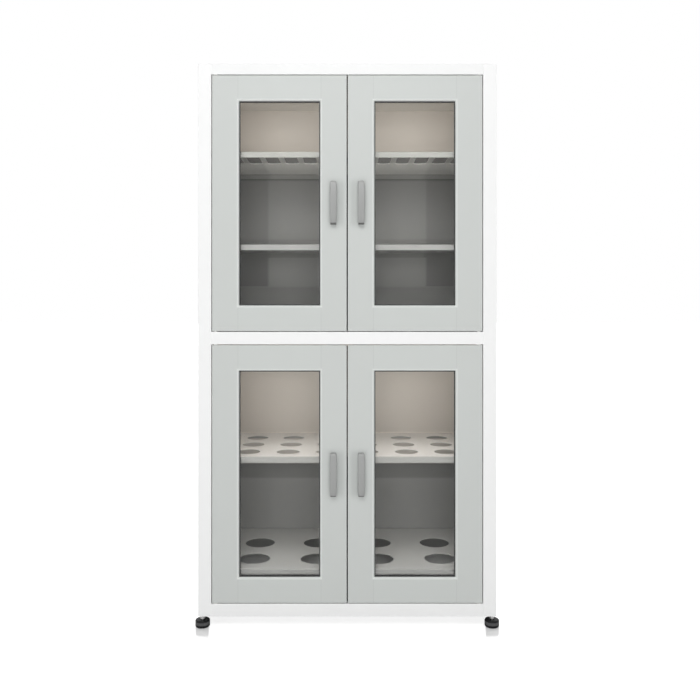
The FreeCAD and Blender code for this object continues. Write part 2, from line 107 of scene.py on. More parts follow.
def spray_coat_group():
    """Sprayed finish: colour clouded by slow noise, uneven gloss, and the height of its grain."""
    group, given, result = new_group(
        "sprayed coat",
        [
            ("Place", "Vector", None),
            ("Colour", "Color", (0.8, 0.8, 0.8, 1.0)),
            ("Cloud", "Float", 0.03),
            ("Cloud Scale", "Float", 4.0),
            ("Roughness", "Float", 0.4),
            ("Grain Scale", "Float", 700.0),
        ],
        [("Colour", "Color"), ("Roughness", "Float"), ("Height", "Float")],
    )
    link = group.links.new
    slow = add_node(group, "ShaderNodeTexNoise", Detail=3.0, Roughness=0.55)
    link(given.outputs["Place"], slow.inputs["Vector"])
    link(given.outputs["Cloud Scale"], slow.inputs["Scale"])
    centred = calc(group, "SUBTRACT", slow.outputs["Fac"], 0.5)
    swing = calc(group, "ADD", calc(group, "MULTIPLY", centred, given.outputs["Cloud"]), 1.0)
    tinted = add_node(group, "ShaderNodeVectorMath", operation="SCALE")
    link(given.outputs["Colour"], tinted.inputs[0])
    link(swing, tinted.inputs["Scale"])
    link(tinted.outputs["Vector"], result.inputs["Colour"])
    smear = add_node(group, "ShaderNodeTexNoise", Scale=22.0, Detail=4.0)
    link(given.outputs["Place"], smear.inputs["Vector"])
    gloss = add_node(group, "ShaderNodeMapRange")
    gloss.inputs["To Min"].default_value = 0.86
    gloss.inputs["To Max"].default_value = 1.14
    link(smear.outputs["Fac"], gloss.inputs["Value"])
    rough = calc(group, "MULTIPLY", gloss.outputs["Result"], given.outputs["Roughness"])
    link(rough, result.inputs["Roughness"])
    grain = add_node(group, "ShaderNodeTexNoise", Detail=2.0, Roughness=0.5)
    link(given.outputs["Place"], grain.inputs["Vector"])
    link(given.outputs["Grain Scale"], grain.inputs["Scale"])
    link(grain.outputs["Fac"], result.inputs["Height"])
    return group


spray_coat = spray_coat_group()


def painted_bend_highlight_group():
    """Painted highlight on bends and bevels: coloured lighter, as where they catch the light.

    On a flat face the largest part of the normal is 1; the mask grows as it falls from there.
    """
    still_flat, fully_bent = 0.995, 0.85
    group, given, result = new_group(
        "painted bend highlight",
        [("Normal", "Vector", None), ("Colour", "Color", (0.8, 0.8, 0.8, 1.0)), ("Lift", "Float", 0.1)],
        [("Colour", "Color")],
    )
    link = group.links.new
    size = add_node(group, "ShaderNodeVectorMath", operation="ABSOLUTE")
    link(given.outputs["Normal"], size.inputs[0])
    along_x, along_y, along_z = split(group, size.outputs["Vector"])
    largest = calc(group, "MAXIMUM", calc(group, "MAXIMUM", along_x, along_y), along_z)
    mask = soft_step(group, largest, still_flat, fully_bent)
    lifted = calc(group, "ADD", calc(group, "MULTIPLY", mask, given.outputs["Lift"]), 1.0)
    scaled = add_node(group, "ShaderNodeVectorMath", operation="SCALE")
    link(given.outputs["Colour"], scaled.inputs[0])
    link(lifted, scaled.inputs["Scale"])
    link(scaled.outputs["Vector"], result.inputs["Colour"])
    return group


painted_bend_highlight = painted_bend_highlight_group()


def plain_material(name):
    """Material with its Principled shader, node tree and texture coordinates."""
    made = bpy.data.materials.new(name)
    made.use_nodes = True
    tree = made.node_tree
    shader = tree.nodes["Principled BSDF"]
    place = add_node(tree, "ShaderNodeTexCoord")
    return made, tree, shader, place.outputs


def coated(name, colour, rough, cloud=0.03, cloud_scale=4.0, grain_scale=700.0, lift=0.08):
    """Sprayed and baked coating with a fine grain; lift is the painted highlight on its bends."""
    made, tree, shader, place = plain_material(name)
    coat = add_node(tree, "ShaderNodeGroup", node_tree=spray_coat)
    tree.links.new(place["Object"], coat.inputs["Place"])
    coat.inputs["Colour"].default_value = (*colour, 1.0)
    coat.inputs["Cloud"].default_value = cloud
    coat.inputs["Cloud Scale"].default_value = cloud_scale
    coat.inputs["Roughness"].default_value = rough
    coat.inputs["Grain Scale"].default_value = grain_scale
    bends = add_node(tree, "ShaderNodeGroup", node_tree=painted_bend_highlight)
    tree.links.new(place["Normal"], bends.inputs["Normal"])
    tree.links.new(coat.outputs["Colour"], bends.inputs["Colour"])
    bends.inputs["Lift"].default_value = lift
    tree.links.new(bends.outputs["Colour"], shader.inputs["Base Color"])
    tree.links.new(coat.outputs["Roughness"], shader.inputs["Roughness"])
    bump = add_node(tree, "ShaderNodeBump", Strength=0.12, Distance=0.0004)
    tree.links.new(coat.outputs["Height"], bump.inputs["Height"])
    tree.links.new(bump.outputs["Normal"], shader.inputs["Normal"])
    return made, tree, place, coat


def finish_nodes(material, *names):
    """The material goes on these parts of the cabinet."""
    for name in names:
        nodes[name].data.materials.clear()
        nodes[name].data.materials.append(material)


case_white, _, _, _ = coated("case white coat", (0.89, 0.893, 0.89), rough=0.38)
finish_nodes(
    case_white,
    "side_panel_left",
    "side_panel_right",
    "top_panel",
    "middle_divider",
    "bottom_panel",
)

# Inner walls
# The coat of the liners and of the back's inner faces changes in level bands of painted light and
# shade: warm and light, as if lit, in the top bay of each compartment and behind the holes of the
# flask shelf, grey and darker as shade elsewhere, and darkest in a painted shadow band just above
# the slotted shelf. The ceiling pan is painted warm and light too, behind its cooler front rail.

lower_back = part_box("back_panel_lower")
upper_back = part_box("back_panel_upper")
floor_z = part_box("bottom_panel")[1].z
over_shelf = 0.002
flask_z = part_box("flask_shelf")[1].z + over_shelf
back_seam_z = upper_back[0].z
plain_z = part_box("plain_shelf")[1].z
slotted_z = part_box("slotted_shelf")[1].z
ceiling_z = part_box("ceiling_panel")[0].z
warm_light_tint = (1.0, 0.925, 0.85)
grey_shade_tint = (1.0, 0.993, 0.975)
# Each band has its bottom and top height, the painted light or shade tone at both, and its tint.
back_painted_light_bands = (
    (floor_z, 0.345, 0.335, 0.30, grey_shade_tint),
    (0.345, 0.405, 0.225, 0.20, grey_shade_tint),
    (0.405, flask_z, 0.80, 0.96, warm_light_tint),
    (flask_z, 0.604, 0.58, 0.67, warm_light_tint),
    (0.604, back_seam_z, 0.67, 0.80, warm_light_tint),
    (back_seam_z, 1.037, 0.60, 0.32, grey_shade_tint),
    (1.037, plain_z, 0.39, 0.45, grey_shade_tint),
    (plain_z, 1.207, 0.305, 0.305, grey_shade_tint),
    (1.207, 1.420, 0.363, 0.29, grey_shade_tint),
    (1.420, 1.522, 0.18, 0.18, grey_shade_tint),
    (1.522, ceiling_z, 0.785, 0.785, warm_light_tint),
)
liner_painted_light_bands = (
    (floor_z, flask_z, 0.35, 0.35, grey_shade_tint),
    (flask_z, back_seam_z, 0.72, 0.72, warm_light_tint),
    (back_seam_z, slotted_z, 0.37, 0.37, grey_shade_tint),
    (slotted_z, ceiling_z, 0.785, 0.785, warm_light_tint),
)
corner_shade_x = (0.277, 0.291)
corner_darker = (0.345, 0.20)
corner_turn_z = (plain_z - over_shelf, plain_z + 0.003)
corner_end_z = (1.037, 1.522)
black = (0.0, 0.0, 0.0)
ramp_top = 2.0
band_seam = 0.0005
white_coat = (0.90, 0.905, 0.90)


def blended(tree, share, first, second):
    """Colour mix by share; each colour is a socket or red, green and blue."""
    mix = add_node(tree, "ShaderNodeMix", data_type="RGBA")
    tree.links.new(share, mix.inputs["Factor"])
    for slot, value in ((mix.inputs["A"], first), (mix.inputs["B"], second)):
        if isinstance(value, tuple):
            slot.default_value = (*value, 1.0)
        else:
            tree.links.new(value, slot)
    return mix.outputs["Result"]


def corner_shade_group():
    """Shade of the corners between the liners and the back, deeper below the plain shelf.

    It is a smooth step of the distance from the middle, times a share that changes at the plain
    shelf, and it ends at two heights.
    """
    group, given, result = new_group("corner shade", [("Place", "Vector", None)], [("Shade", "Float")])
    across, _, height = split(group, given.outputs["Place"])
    share = add_node(group, "ShaderNodeMapRange")
    for span, limits in (("From", corner_turn_z), ("To", corner_darker)):
        share.inputs[span + " Min"].default_value = limits[0]
        share.inputs[span + " Max"].default_value = limits[1]
    group.links.new(height, share.inputs["Value"])
    near = soft_step(group, calc(group, "ABSOLUTE", across, 0.0), *corner_shade_x)
    shade = calc(group, "MULTIPLY", near, share.outputs["Result"])
    over_end = calc(group, "GREATER_THAN", height, corner_end_z[0])
    under_end = calc(group, "LESS_THAN", height, corner_end_z[1])
    shade = calc(group, "MULTIPLY", shade, calc(group, "MULTIPLY", over_end, under_end))
    group.links.new(shade, result.inputs["Shade"])
    return group


corner_shade = corner_shade_group()


def inner_wall(name, bands, outside_beyond=None):
    """Painted light and shade in height bands and corners; white at a depth over outside_beyond."""
    made, tree, place, coat = coated(name, white_coat, rough=0.5, cloud=0.05)
    _, depth, height = split(tree, place["Object"])
    ramp = add_node(tree, "ShaderNodeValToRGB")
    ends = []
    for low, high, low_tone, high_tone, tint in bands:
        ends += [(low + band_seam, low_tone, tint), (high - band_seam, high_tone, tint)]
    stops = ramp.color_ramp.elements
    for end in ends[2:]:
        stops.new(end[0] / ramp_top)
    for stop, (end_z, tone, tint) in zip(stops, ends):
        stop.position = end_z / ramp_top
        stop.color = (*[tone * part for part in tint], 1.0)
    tree.links.new(calc(tree, "DIVIDE", height, ramp_top), ramp.inputs["Fac"])
    corner = add_node(tree, "ShaderNodeGroup", node_tree=corner_shade)
    tree.links.new(place["Object"], corner.inputs["Place"])
    colour = blended(tree, corner.outputs["Shade"], ramp.outputs["Color"], black)
    if outside_beyond is not None:
        colour = blended(tree, calc(tree, "GREATER_THAN", depth, outside_beyond), colour, white_coat)
    tree.links.new(colour, coat.inputs["Colour"])
    return made


finish_nodes(inner_wall("liner coat", liner_painted_light_bands), "side_liner_left", "side_liner_right")
back_middle_y = (upper_back[0].y + upper_back[1].y) / 2
finish_nodes(inner_wall("back coat", back_painted_light_bands, back_middle_y), "back_panel_lower", "back_panel_upper")
ceiling_coat, ceiling_tree, ceiling_place, ceiling_spray = coated("ceiling coat", white_coat, rough=0.4)
ceiling_depth = split(ceiling_tree, ceiling_place["Object"])["Y"]
top_rail_depth = 0.02
top_rail_white = (0.86, 0.866, 0.862)
# The pan behind the front rail is painted warm and light, as lit inside the top bay.
pan_painted_light = (0.95, 0.925, 0.88)
rail_back_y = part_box("ceiling_panel")[0].y + top_rail_depth
behind_rail = calc(ceiling_tree, "GREATER_THAN", ceiling_depth, rail_back_y)
ceiling_colour = blended(ceiling_tree, behind_rail, top_rail_white, pan_painted_light)
ceiling_tree.links.new(ceiling_colour, ceiling_spray.inputs["Colour"])
finish_nodes(ceiling_coat, "ceiling_panel")

# Back screws
# Pan-head screws with a cross recess hold the two back panels to the flanges of the sides.
# Each head is a dome over a circle, with the recess pressed into it.


def surface(name, rows):
    """Mesh over a grid of points of shape (rows, columns, 3), whose columns close up in a ring.

    Points that fall together, as at a pole, are merged, and the faces are turned outwards.
    """
    count, columns = rows.shape[:2]
    i, j = np.meshgrid(np.arange(count - 1), np.arange(columns), indexing="ij")
    after = (j + 1) % columns
    corners = [i * columns + j, i * columns + after, (i + 1) * columns + after, (i + 1) * columns + j]
    quads = np.stack(corners, axis=-1).reshape(-1, 4)
    mesh = bpy.data.meshes.new(name)
    mesh.from_pydata(rows.reshape(-1, 3).tolist(), [], quads.tolist())
    tidy = bmesh.new()
    tidy.from_mesh(mesh)
    bmesh.ops.remove_doubles(tidy, verts=tidy.verts, dist=1e-6)
    bmesh.ops.recalc_face_normals(tidy, faces=tidy.faces)
    tidy.to_mesh(mesh)
    tidy.free()
    return mesh


def piece(name, meshes, body, material, sharp=35.0):
    """One piece from meshes in place, smooth where its faces meet at less than the sharp angle."""
    joined = bmesh.new()
    for mesh in meshes:
        joined.from_mesh(mesh)
        bpy.data.meshes.remove(mesh)
    whole = bpy.data.meshes.new(name)
    joined.to_mesh(whole)
    joined.free()
    whole.polygons.foreach_set("use_smooth", np.ones(len(whole.polygons), dtype=bool))
    whole.set_sharp_from_angle(angle=math.radians(sharp))
    whole.materials.append(material)
    made = bpy.data.objects.new(name, whole)
    bpy.context.scene.collection.objects.link(made)
    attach(made, body)
    return made


def zinc_plating_group():
    """Faint spangle and rolling streaks of zinc plating, as noise stretched along the height."""
    streak, streak_length, darkest, smoothest, roughest = 90.0, 8, 0.86, 0.7, 1.3
    group, given, result = new_group(
        "zinc plating",
        [
            ("Place", "Vector", None),
            ("Colour", "Color", (0.66, 0.66, 0.64, 1.0)),
            ("Roughness", "Float", 0.3),
        ],
        [("Colour", "Color"), ("Roughness", "Float")],
    )
    link = group.links.new
    stretch = add_node(group, "ShaderNodeMapping")
    stretch.inputs["Scale"].default_value = (streak, streak, streak / streak_length)
    link(given.outputs["Place"], stretch.inputs["Vector"])
    spangle = add_node(group, "ShaderNodeTexNoise", Scale=3.0, Detail=5.0, Roughness=0.6)
    link(stretch.outputs["Vector"], spangle.inputs["Vector"])
    dark = add_node(group, "ShaderNodeVectorMath", operation="SCALE", Scale=darkest)
    link(given.outputs["Colour"], dark.inputs[0])
    shade = blended(group, spangle.outputs["Fac"], dark.outputs["Vector"], given.outputs["Colour"])
    link(shade, result.inputs["Colour"])
    dull = add_node(group, "ShaderNodeMapRange")
    dull.inputs["To Min"].default_value = smoothest
    dull.inputs["To Max"].default_value = roughest
    link(spangle.outputs["Fac"], dull.inputs["Value"])
    rough = calc(group, "MULTIPLY", dull.outputs["Result"], given.outputs["Roughness"])
    link(rough, result.inputs["Roughness"])
    return group


zinc_plating = zinc_plating_group()


def plated(name, colour, rough):
    """Zinc-plated steel of this colour and mean roughness."""
    made, tree, shader, place = plain_material(name)
    shader.inputs["Metallic"].default_value = 1.0
    plate = add_node(tree, "ShaderNodeGroup", node_tree=zinc_plating)
    plate.inputs["Colour"].default_value = (*colour, 1.0)
    plate.inputs["Roughness"].default_value = rough
    tree.links.new(place["Object"], plate.inputs["Place"])
    tree.links.new(plate.outputs["Colour"], shader.inputs["Base Color"])
    tree.links.new(plate.outputs["Roughness"], shader.inputs["Roughness"])
    return made


zinc = plated("bright zinc plate", (0.66, 0.66, 0.64), rough=0.3)


def screw_head(x, z, face_y, radius=0.004, height=0.0022, recess=0.0011):
    """Pan head that stands out backwards from a face at face_y.

    At the share s of its radius the dome is the height times the square root of 1 less s to the
    fourth power. The cross recess is sunk into it by a ramp across each arm, times a ramp that
    ends the arm.
    """
    arm_half, arm_slope, arm_length, arm_fade = 0.17, 0.05, 0.62, 0.12
    share = np.concatenate([np.linspace(0, 0.75, 12), np.linspace(0.8, 1, 6)])[:, None]
    turn = np.linspace(0, 2 * np.pi, 48, endpoint=False)[None, :]
    u = share * np.cos(turn) + 0 * turn
    v = share * np.sin(turn)
    dome = height * np.sqrt(np.clip(1 - share**4, 0, 1)) + 0 * turn
    across = np.minimum(np.abs(u), np.abs(v))
    along = np.maximum(np.abs(u), np.abs(v))
    arm = np.clip((arm_half - across) / arm_slope, 0, 1)
    arm = arm * np.clip((arm_length - along) / arm_fade, 0, 1)
    points = np.stack([x + radius * u, face_y + (dome - recess * arm), z + radius * v], axis=-1)
    return surface("screw head", points)


side_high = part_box("side_panel_right")[1]
flange_middle = 0.010
screw_x = side_high.x - flange_middle
screw_end = 0.045
screws_a_side = 5
screw_rows = np.concatenate(
    [
        np.linspace(low.z + screw_end, high.z - screw_end, screws_a_side)
        for low, high in (lower_back, upper_back)
    ]
)
piece(
    "back_panel_screws",
    [screw_head(side * screw_x, z, side_high.y) for side in (-1, 1) for z in screw_rows],
    "cabinet",
    zinc,
)

# Shelves and their hardware
# Folded shelves with a satin off-white coat hang on plated clips in slotted plated standards.
# Their coat is painted lighter on the tops, as light, and darker on the undersides and lips, as
# shade. Corner plates with threaded bushes close the case from below.

shelf_low, shelf_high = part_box("slotted_shelf")
lip_back_y = shelf_low.y + 0.0014
rear_lip_y = shelf_high.y - 0.0025
top_light_fade_y = (-0.18, 0.20)
slot_shade_y = (0.002, -0.012)
slot_shade = 0.28
rear_shade_y = (0.03, 0.19)
rear_shade = 0.12
side_shade_x = (0.268, 0.286)
side_shade = 0.16
faces_up = 0.3
shaded_lip_grey = (0.395, 0.39, 0.375)
shelf_faces = ("Top Front", "Top Rear", "Underside", "Front Lip", "Rear Lip")
# Each shelf has its painted lit and shaded tones in the order of its faces.
shelf_lit_and_shaded_tones = {
    "slotted_shelf": (
        (0.84, 0.81, 0.77),
        (0.84, 0.81, 0.77),
        (0.99, 0.98, 0.95),
        (0.487, 0.485, 0.46),
        shaded_lip_grey,
    ),
    "plain_shelf": (
        (0.93, 0.91, 0.88),
        (0.93, 0.91, 0.88),
        (0.70, 0.69, 0.67),
        (0.43, 0.427, 0.42),
        shaded_lip_grey,
    ),
    "flask_shelf": (
        (0.96, 0.92, 0.88),
        (0.82, 0.79, 0.75),
        (0.76, 0.75, 0.72),
        (0.44, 0.435, 0.42),
        (0.72, 0.69, 0.65),
    ),
    "flask_tray": (
        (0.775, 0.768, 0.752),
        (0.58, 0.575, 0.56),
        (0.76, 0.75, 0.72),
        (0.43, 0.425, 0.42),
        shaded_lip_grey,
    ),
}


def shelf_painted_shading_group():
    """Painted light and shade of a shelf by the face that shows: top, underside and the two lips.

    The top's painted light fades from front to rear by a smooth step. The underside's painted shade
    deepens by the sum of three smooth steps: among the slots, towards the rear and towards the sides.
    """
    tones = [(face, "Color", (0.8, 0.8, 0.8, 1.0)) for face in shelf_faces]
    vectors = [("Place", "Vector", None), ("Normal", "Vector", None)]
    group, given, result = new_group("shelf painted shading", vectors + tones, [("Colour", "Color")])
    top_front, top_rear, underside, front_lip, rear_lip = (given.outputs[face] for face in shelf_faces)
    across, depth, _ = split(group, given.outputs["Place"])
    _, _, facing_up = split(group, given.outputs["Normal"])
    out = calc(group, "ABSOLUTE", across, 0.0)
    shade = 0.0
    for value, fade, darker in (
        (depth, slot_shade_y, slot_shade),
        (depth, rear_shade_y, rear_shade),
        (out, side_shade_x, side_shade),
    ):
        part = calc(group, "MULTIPLY", soft_step(group, value, *fade), darker)
        shade = calc(group, "ADD", part, shade)
    below = blended(group, calc(group, "GREATER_THAN", depth, rear_lip_y), underside, rear_lip)
    below = blended(group, shade, below, black)
    above = blended(group, soft_step(group, depth, *top_light_fade_y), top_front, top_rear)
    tone = blended(group, calc(group, "GREATER_THAN", facing_up, faces_up), below, above)
    tone = blended(group, calc(group, "LESS_THAN", depth, lip_back_y), tone, front_lip)
    group.links.new(tone, result.inputs["Colour"])
    return group


shelf_painted_shading = shelf_painted_shading_group()
for shelf, tones in shelf_lit_and_shaded_tones.items():
    shelf_coat, tree, place, spray = coated(
        shelf + "_coat", tones[0], rough=0.42, cloud=0.04, lift=0.25
    )
    faces = add_node(tree, "ShaderNodeGroup", node_tree=shelf_painted_shading)
    tree.links.new(place["Object"], faces.inputs["Place"])
    tree.links.new(place["Normal"], faces.inputs["Normal"])
    for face, tone in zip(shelf_faces, tones):
        faces.inputs[face].default_value = (*tone, 1.0)
    tree.links.new(faces.outputs["Colour"], spray.inputs["Colour"])
    finish_nodes(shelf_coat, shelf)
finish_nodes(zinc, "shelf_standards", "shelf_clips", "foot_brackets")

# Door leaves
# Each leaf is a folded outer shell and an inner frame sheet, sprayed pale grey with a breath of
# green. The blocks inside its hinge edge are plated and carry the pivot pins.

levels = ("upper", "lower")
sides = ("left", "right")
door_bodies = ["door_" + level + "_" + side for level in levels for side in sides]
door_grey = (0.571, 0.592, 0.576)
rail_grey = (0.574, 0.597, 0.580)
seam_grey = (0.530, 0.550, 0.535)
painted_glint_grey = (0.70, 0.715, 0.70)
handle_shadow_grey = (0.495, 0.515, 0.50)
seam_half = 0.0009
glass_overlap = 0.008
window_bevel = 0.003
glint_near = (0.0024, 0.0034)
glint_far = (0.0066, 0.0052)
handle_shadow_middle_x = 0.034
handle_shadow_fade_x = (0.034, 0.016)
handle_shadow_fade_z = (0.082, 0.055)
door_sheet = 0.001
door_coat, door_tree, door_place, door_spray = coated(
    "door coat", door_grey, rough=0.40, cloud=0.03, cloud_scale=3.0, lift=0.38
)
door_across, door_depth, door_height = split(door_tree, door_place["Object"])
door_out = calc(door_tree, "ABSOLUTE", door_across, 0.0)
door_front_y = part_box("door_upper_left_shell")[0].y + door_sheet
on_front = calc(door_tree, "LESS_THAN", door_depth, door_front_y)


def from_middle(value, middle, half):
    """Distance of the value beyond half from its middle, on either side."""
    gap = calc(door_tree, "ABSOLUTE", calc(door_tree, "SUBTRACT", value, middle), 0.0)
    return calc(door_tree, "SUBTRACT", gap, half)


def middle_and_half(low, high):
    """Middle of a span, and half its length."""
    return (low + high) / 2, (high - low) / 2


def patch(tone, grey, across, along):
    """The tone with a grey patch on the front face where both masks are 1."""
    share = calc(door_tree, "MULTIPLY", calc(door_tree, "MULTIPLY", across, along), on_front)
    return blended(door_tree, share, tone, grey)


# The rails above and below each window lie between two welded seams, a hair darker than they are.
glass_low, glass_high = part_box("door_upper_right_glass")
window_x, window_half = middle_and_half(glass_low.x + glass_overlap, glass_high.x - glass_overlap)
rail_half = window_half + window_bevel
off_rail = from_middle(door_out, window_x, rail_half)
door_tone = blended(door_tree, calc(door_tree, "LESS_THAN", off_rail, 0.0), door_grey, rail_grey)
off_seam = calc(door_tree, "ABSOLUTE", off_rail, 0.0)
door_tone = blended(door_tree, calc(door_tree, "LESS_THAN", off_seam, seam_half), door_tone, seam_grey)

# A painted highlight runs round each window as the bevel's glint, and a painted shadow darkens the
# door a little around each handle.
for level in levels:
    glass_low, glass_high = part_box("door_" + level + "_right_glass")
    handle_low, handle_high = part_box("door_" + level + "_right_handle")
    window_z, window_tall = middle_and_half(glass_low.z + glass_overlap, glass_high.z - glass_overlap)
    beside = from_middle(door_out, window_x, window_half)
    outside = calc(door_tree, "MAXIMUM", beside, from_middle(door_height, window_z, window_tall))
    near, far = (soft_step(door_tree, outside, *fade) for fade in (glint_near, glint_far))
    door_tone = patch(door_tone, painted_glint_grey, near, far)
    # Painted shadow of the handle: the door is darker in a soft patch round it.
    handle_z = (handle_low.z + handle_high.z) / 2
    aside = soft_step(door_tree, from_middle(door_out, handle_shadow_middle_x, 0.0), *handle_shadow_fade_x)
    above = soft_step(door_tree, from_middle(door_height, handle_z, 0.0), *handle_shadow_fade_z)
    door_tone = patch(door_tone, handle_shadow_grey, aside, above)
door_tree.links.new(door_tone, door_spray.inputs["Colour"])
for door in door_bodies:
    finish_nodes(door_coat, door + "_shell", door + "_inner_frame")
    finish_nodes(zinc, door + "_pivot_blocks", door + "_strike_plate")

# Glass and gaskets
# Clear safety glass, 4 mm, in a channel of matt black rubber. Lamps shine through the pane, and
# the eye sees it as glass.

pane_glass, pane_tree, pane_shader, pane_place = plain_material("clear safety glass")
pane_shader.inputs["Base Color"].default_value = (0.93, 0.935, 0.925, 1.0)
pane_shader.inputs["Transmission Weight"].default_value = 1.0
pane_shader.inputs["IOR"].default_value = 1.5
pane_shader.inputs["Specular Tint"].default_value = (0.3, 0.3, 0.3, 1.0)
pane_smear = add_node(pane_tree, "ShaderNodeTexNoise", Scale=9.0, Detail=5.0)
pane_tree.links.new(pane_place["Object"], pane_smear.inputs["Vector"])
pane_gloss = add_node(pane_tree, "ShaderNodeMapRange")
pane_gloss.inputs["To Min"].default_value = 0.0
pane_gloss.inputs["To Max"].default_value = 0.03
pane_tree.links.new(pane_smear.outputs["Fac"], pane_gloss.inputs["Value"])
pane_tree.links.new(pane_gloss.outputs["Result"], pane_shader.inputs["Roughness"])
pane_rays = add_node(pane_tree, "ShaderNodeLightPath")
pane_clear = add_node(pane_tree, "ShaderNodeBsdfTransparent")
pane_clear.inputs["Color"].default_value = (0.955, 0.955, 0.945, 1.0)
pane_mix = add_node(pane_tree, "ShaderNodeMixShader")
pane_tree.links.new(pane_rays.outputs["Is Shadow Ray"], pane_mix.inputs[0])
pane_tree.links.new(pane_shader.outputs[0], pane_mix.inputs[1])
pane_tree.links.new(pane_clear.outputs[0], pane_mix.inputs[2])
pane_tree.links.new(pane_mix.outputs[0], pane_tree.nodes["Material Output"].inputs["Surface"])

black_rubber, _, _, _ = coated(
    "black rubber", (0.05, 0.051, 0.052), rough=0.62, cloud=0.3, grain_scale=400.0
)
for door in door_bodies:
    finish_nodes(pane_glass, door + "_glass")
    finish_nodes(black_rubber, door + "_gasket")

# Handles
# A flat bow of cast metal with rounded edges, lacquered satin grey. It stands on two feet, which
# two screws hold from inside the door.

handle_grey = (0.335, 0.34, 0.335)
handle_underside_shade_grey = (0.115, 0.115, 0.112)
handle_shade_slope = (-0.15, -0.6)
handle_lacquer, handle_tree, handle_place, handle_spray = coated(
    "handle lacquer", handle_grey, rough=0.42, cloud=0.05, cloud_scale=30.0, lift=0.12
)
# Faces turned downwards, as at the bow's lower end, are painted dark as shade.
_, _, handle_facing_up = split(handle_tree, handle_place["Normal"])
handle_down = soft_step(handle_tree, handle_facing_up, *handle_shade_slope)
handle_tone = blended(handle_tree, handle_down, handle_grey, handle_underside_shade_grey)
handle_tree.links.new(handle_tone, handle_spray.inputs["Colour"])


def arc_line(half, low, high, count):
    """Distance out and height on the circle through (low, -half), (high, 0) and (low, half)."""
    radius = (half**2 + (high - low) ** 2) / (2 * (high - low))
    angle = np.linspace(-1, 1, count) * math.asin(half / radius)
    return np.stack([high - radius + radius * np.cos(angle), radius * np.sin(angle)], axis=-1)


def even_line(corners, count):
    """Points at even steps along a polyline."""
    steps = np.linalg.norm(np.diff(corners, axis=0), axis=1)
    along = np.concatenate([[0.0], np.cumsum(steps)])
    wanted = np.linspace(0, along[-1], count)
    return np.stack([np.interp(wanted, along, corners[:, k]) for k in (0, 1)], axis=-1)


def with_ends(rows):
    """The rows of points with both ends drawn together to a point, which closes the mesh."""
    ends = []
    for end in (rows[:1], rows[-1:]):
        ends.append(np.broadcast_to(end.mean(axis=1, keepdims=True), end.shape))
    return np.concatenate([ends[0], rows, ends[1]])


def bow_handle(node):
    """Bow between an outer and an inner line, with a rounded-box section, standing on two flat feet.

    The outer line is end face, arc and end face, with its corners rounded by a running mean. The
    section is a squircle: cosine and sine raised to a small power, across the width and between the
    inner and the outer line.
    """
    low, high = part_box(node)
    centre_x, centre_z = (low.x + high.x) / 2, (low.z + high.z) / 2
    foot_y, reach = high.y, high.y - low.y
    half, half_width = (high.z - low.z) / 2, (high.x - low.x) / 2
    foot, thick, end_out, count, arc_count, blur = 0.015, 0.006, 0.019, 161, 41, 5
    arc = arc_line(half, end_out, reach, arc_count)
    outer = even_line(np.concatenate([[[0.0, -half]], arc, [[0.0, half]]]), count)
    before = 2 * outer[:1] - outer[blur:0:-1]
    after = 2 * outer[-1:] - outer[-2 : -blur - 2 : -1]
    spread = np.concatenate([before, outer, after])
    window = np.ones(2 * blur + 1) / (2 * blur + 1)
    outer = np.stack([np.convolve(spread[:, k], window, "valid") for k in (0, 1)], axis=-1)
    inner = even_line(arc_line(half - foot, 0.0, reach - thick, arc_count), count)
    around = np.linspace(0, 2 * np.pi, 56, endpoint=False)[None, :]
    squircle = 0.3
    wide = np.sign(np.cos(around)) * np.abs(np.cos(around)) ** squircle
    deep = np.sign(np.sin(around)) * np.abs(np.sin(around)) ** squircle
    blend = (1 + deep) / 2
    out = inner[:, :1] + (outer[:, :1] - inner[:, :1]) * blend
    z = inner[:, 1:] + (outer[:, 1:] - inner[:, 1:]) * blend
    x = centre_x + half_width * wide + 0 * out
    rows = np.stack([x, foot_y - np.maximum(out, 0.0), centre_z + z], axis=-1)
    return surface("bow", with_ends(rows))


handle_screw_inset = 0.0075
for door in door_bodies:
    bow_mesh = bow_handle(door + "_handle")
    bow = piece(door + "_bow", [bow_mesh], door, handle_lacquer, sharp=50.0)
    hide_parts(door + "_handle")
    low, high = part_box(door + "_handle")
    inside_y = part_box(door + "_inner_frame")[1].y
    screw_zs = (low.z + handle_screw_inset, high.z - handle_screw_inset)
    heads = [screw_head((low.x + high.x) / 2, z, inside_y) for z in screw_zs]
    piece(door + "_handle_screws", heads, door, zinc)

# Dust seals
# Each door carries a thin lip of black rubber along its meeting edge, which closes the gap between
# the two doors of a pair without touching the other one.


def seal_strip(door):
    """Lip along the door's meeting edge, nearly as tall as the door.

    Over half a turn its depth follows the cosine, and its reach the square root of the sine.
    """
    low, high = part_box(door + "_shell")
    side = 1 if abs(high.x) < abs(low.x) else -1
    edge_x = high.x if side > 0 else low.x
    clear, depth, inset, end = 0.0004, 0.0016, 0.006, 0.002
    reach, middle_y = abs(edge_x) - clear, high.y - inset
    turn = np.linspace(0, np.pi, 9)[None, :]
    x = edge_x + side * reach * np.sin(turn) ** 0.5
    y = middle_y - depth * np.cos(turn)
    z = np.array([low.z + end, low.z + end, high.z - end, high.z - end])[:, None]
    rows = np.stack([x + 0 * z, y + 0 * z, z + 0 * x], axis=-1)
    for cap in (0, 3):
        rows[cap] = rows[cap].mean(axis=0)
    return surface("seal", rows)


for door in door_bodies:
    piece(door + "_seal", [seal_strip(door)], door, black_rubber, sharp=50.0)

# Catches and bushes
# The magnet housings, which hold the doors' strike plates, and the flanged bushes, in which the
# pivot pins turn, are moulded white nylon.

white_nylon, _, _, _ = coated(
    "white nylon", (0.80, 0.80, 0.77), rough=0.45, cloud=0.04, grain_scale=300.0
)
finish_nodes(white_nylon, "magnetic_catches", "pivot_bushes")

# Feet
# Moulded black pads with rounded rims and shallow grip flutes. The plated stud has a rolled thread
# and a hexagon, by which the foot is turned.

